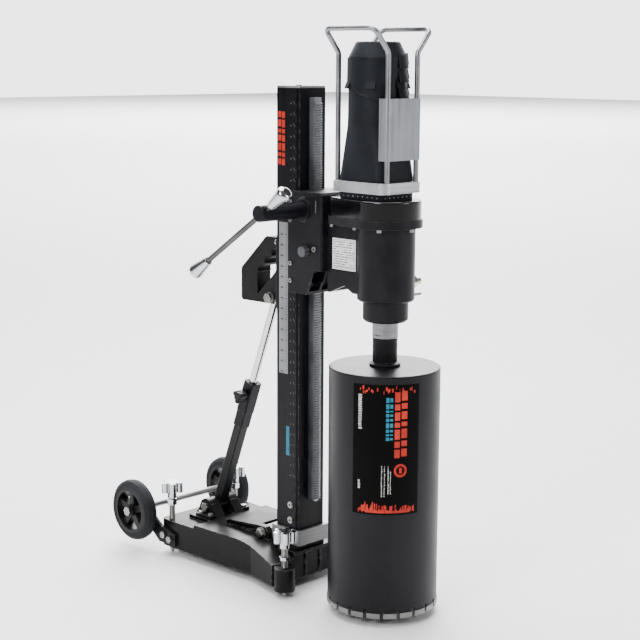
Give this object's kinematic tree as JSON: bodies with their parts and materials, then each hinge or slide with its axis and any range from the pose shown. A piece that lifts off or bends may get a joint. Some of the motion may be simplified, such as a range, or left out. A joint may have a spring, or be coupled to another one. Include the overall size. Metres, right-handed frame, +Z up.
{
  "type": "core drill rig",
  "caption": "Wheeled core drill rig: tilting rack column with a rear strut, a cranked carriage with a geared electric motor, and a large segmented core bit.",
  "frame": {"origin": "the point where the vertical drilling axis meets the floor", "axes": "+Z up along the drilling axis and the column; +Y from the core bit towards the column, the strut and the wheels; +X away from the feed crank"},
  "size_m": [0.3119, 0.7408, 1.0497],
  "materials": {
    "black_paint": "satin",
    "rubber_pad": "matte",
    "zinc_steel": "satin",
    "grey_steel": "satin",
    "tyre_rubber": "matte",
    "black_plastic": "satin",
    "black_anodised": "satin",
    "grey_plastic": "matte",
    "rack_steel": "satin",
    "grey_foot_steel": "satin",
    "black_handle": "matte",
    "bright_chrome": "polished",
    "black_cast_aluminium": "satin",
    "pad_plastic": "matte",
    "lock_knob_grey": "satin",
    "gloss_cover": "gloss",
    "bearing_steel": "polished",
    "seal_rubber": "matte",
    "nickel_brass": "satin",
    "motor_plastic": "satin",
    "laminated_steel": "satin",
    "carbon_brush": "matte",
    "silver_aluminium": "satin",
    "loop_steel": "satin",
    "silver_sheet": "satin",
    "switch_plastic": "gloss",
    "gland_plastic": "satin",
    "gear_steel": "satin",
    "crank_hub_black": "satin",
    "dark_bar_steel": "satin",
    "knob_chrome": "polished",
    "spindle_steel": "satin",
    "bit_black": "satin",
    "segment_silver": "satin"
  },
  "bodies": {
    "base": {"base_casting": "black_paint", "rest_pad": "rubber_pad", "hinge_bolt": "zinc_steel", "strut_ears": "black_paint", "base_fasteners": "zinc_steel", "axle_brackets": "black_paint", "axle": "grey_steel"},
    "wheel_left": {"tyre_left": "tyre_rubber", "wheel_hub_left": "black_plastic"},
    "wheel_right": {"tyre_right": "tyre_rubber", "wheel_hub_right": "black_plastic"},
    "column": {"column_tube": "black_anodised", "column_cap": "grey_plastic", "column_screws": "zinc_steel", "rack": "rack_steel", "column_foot": "grey_foot_steel", "carry_handle": "black_handle", "handle_bolts": "zinc_steel"},
    "strut_rod": {"strut_rod": "bright_chrome"},
    "strut_tube": {"strut_tube": "black_paint", "strut_collar": "black_anodised"},
    "clamp_knob": {"clamp_knob": "black_plastic"},
    "carriage": {"carriage": "black_cast_aluminium", "slide_pads": "pad_plastic", "carriage_bolts": "zinc_steel", "gear_housing": "black_cast_aluminium", "gear_cover": "gloss_cover", "bearings": "bearing_steel", "water_seals": "seal_rubber", "water_fitting": "nickel_brass", "motor_housing": "motor_plastic", "motor_cap": "motor_plastic", "stator": "laminated_steel", "brushes": "carbon_brush", "guard_plate": "silver_aluminium", "guard_loops": "loop_steel", "guard_shield": "silver_sheet", "cable_gland": "gland_plastic"},
    "feed_lock": {"feed_lock_knob": "lock_knob_grey"},
    "crank": {"pinion_shaft": "gear_steel", "crank_hub": "crank_hub_black"},
    "crank_bar": {"crank_bar": "dark_bar_steel", "crank_knobs": "knob_chrome"},
    "spindle": {"spindle": "spindle_steel", "spindle_gear": "gear_steel", "bit_hub": "bit_black", "bit_tube": "bit_black", "bit_segments": "segment_silver"},
    "idler": {"idler_gear": "gear_steel"},
    "armature": {"armature": "laminated_steel"},
    "valve_lever": {"valve_lever": "zinc_steel"},
    "power_switch": {"power_switch": "switch_plastic"},
    "leveller_front_left": {"levelling_screw_front_left": "zinc_steel", "levelling_knob_front_left": "knob_chrome"},
    "leveller_front_right": {"levelling_screw_front_right": "zinc_steel", "levelling_knob_front_right": "knob_chrome"},
    "leveller_rear_left": {"levelling_screw_rear_left": "zinc_steel", "levelling_knob_rear_left": "knob_chrome"},
    "leveller_rear_right": {"levelling_screw_rear_right": "zinc_steel", "levelling_knob_rear_right": "knob_chrome"}
  },
  "joints": [
    {"name": "column_tilt", "type": "hinge", "parent": "base", "child": "column", "pos_m": [0, 0.283, 0.083], "axis": [-1, 0, 0], "range_deg": [0, 45]},
    {"name": "strut_swing", "type": "hinge", "parent": "column", "child": "strut_rod", "pos_m": [0, 0.284, 0.545], "axis": [-1, 0, 0], "range_deg": [0, 2.2]},
    {"name": "strut_slide", "type": "slide", "parent": "strut_rod", "child": "strut_tube", "axis": [0, -0.357, 0.9341], "range_m": [0, 0.1325]},
    {"name": "clamp_knob_turn", "type": "hinge", "parent": "strut_tube", "child": "clamp_knob", "pos_m": [-0.028, 0.36246, 0.33973], "axis": [-1, 0, 0], "range_deg": [-360, 360]},
    {"name": "carriage_slide", "type": "slide", "parent": "column", "child": "carriage", "axis": [0, 0, 1], "range_m": [-0.45, 0.18]},
    {"name": "crank_turn", "type": "hinge", "parent": "carriage", "child": "crank", "pos_m": [0, 0.158, 0.725], "axis": [-1, 0, 0], "range_deg": [-1915, 770]},
    {"name": "bar_slide", "type": "slide", "parent": "crank", "child": "crank_bar", "axis": [0, 0.832, -0.5548], "range_m": [-0.15, 0.009]},
    {"name": "feed_lock_turn", "type": "hinge", "parent": "carriage", "child": "feed_lock", "pos_m": [-0.056, 0.152, 0.65], "axis": [-1, 0, 0], "range_deg": [-90, 360]},
    {"name": "spindle_turn", "type": "hinge", "parent": "carriage", "child": "spindle", "pos_m": [0, 0, 0.62], "axis": [0, 0, 1], "continuous": true},
    {"name": "idler_turn", "type": "hinge", "parent": "carriage", "child": "idler", "pos_m": [0, 0.062, 0.73], "axis": [0, 0, 1], "continuous": true},
    {"name": "armature_turn", "type": "hinge", "parent": "carriage", "child": "armature", "pos_m": [0, 0.026, 0.87], "axis": [0, 0, 1], "continuous": true},
    {"name": "water_valve", "type": "hinge", "parent": "carriage", "child": "valve_lever", "pos_m": [0.066, 0, 0.576], "axis": [0, 0, 1], "range_deg": [0, 90]},
    {"name": "power_rocker", "type": "hinge", "parent": "carriage", "child": "power_switch", "pos_m": [0.058, 0.026, 0.862], "axis": [0, 1, 0], "range_deg": [0, 16]},
    {"name": "wheel_left_roll", "type": "hinge", "parent": "base", "child": "wheel_left", "pos_m": [-0.1254, 0.577, 0.0813], "axis": [1, 0, 0], "continuous": true},
    {"name": "wheel_right_roll", "type": "hinge", "parent": "base", "child": "wheel_right", "pos_m": [0.1254, 0.577, 0.0813], "axis": [1, 0, 0], "continuous": true},
    {"name": "leveller_front_left_screw", "type": "slide", "parent": "base", "child": "leveller_front_left", "axis": [0, 0, 1], "range_m": [-0.012, 0.03]},
    {"name": "leveller_front_right_screw", "type": "slide", "parent": "base", "child": "leveller_front_right", "axis": [0, 0, 1], "range_m": [-0.012, 0.03]},
    {"name": "leveller_rear_left_screw", "type": "slide", "parent": "base", "child": "leveller_rear_left", "axis": [0, 0, 1], "range_m": [-0.012, 0.03]},
    {"name": "leveller_rear_right_screw", "type": "slide", "parent": "base", "child": "leveller_rear_right", "axis": [0, 0, 1], "range_m": [-0.012, 0.03]}
  ],
  "couplings": [
    {"joint": "strut_swing", "follows": "column_tilt", "ratio": 0.04672},
    {"joint": "strut_slide", "follows": "column_tilt", "m_per_rad": 0.1679},
    {"joint": "crank_turn", "follows": "carriage_slide", "rad_per_m": 74.074},
    {"joint": "idler_turn", "follows": "spindle_turn", "ratio": -3.4286},
    {"joint": "armature_turn", "follows": "spindle_turn", "ratio": 10.286}
  ]
}
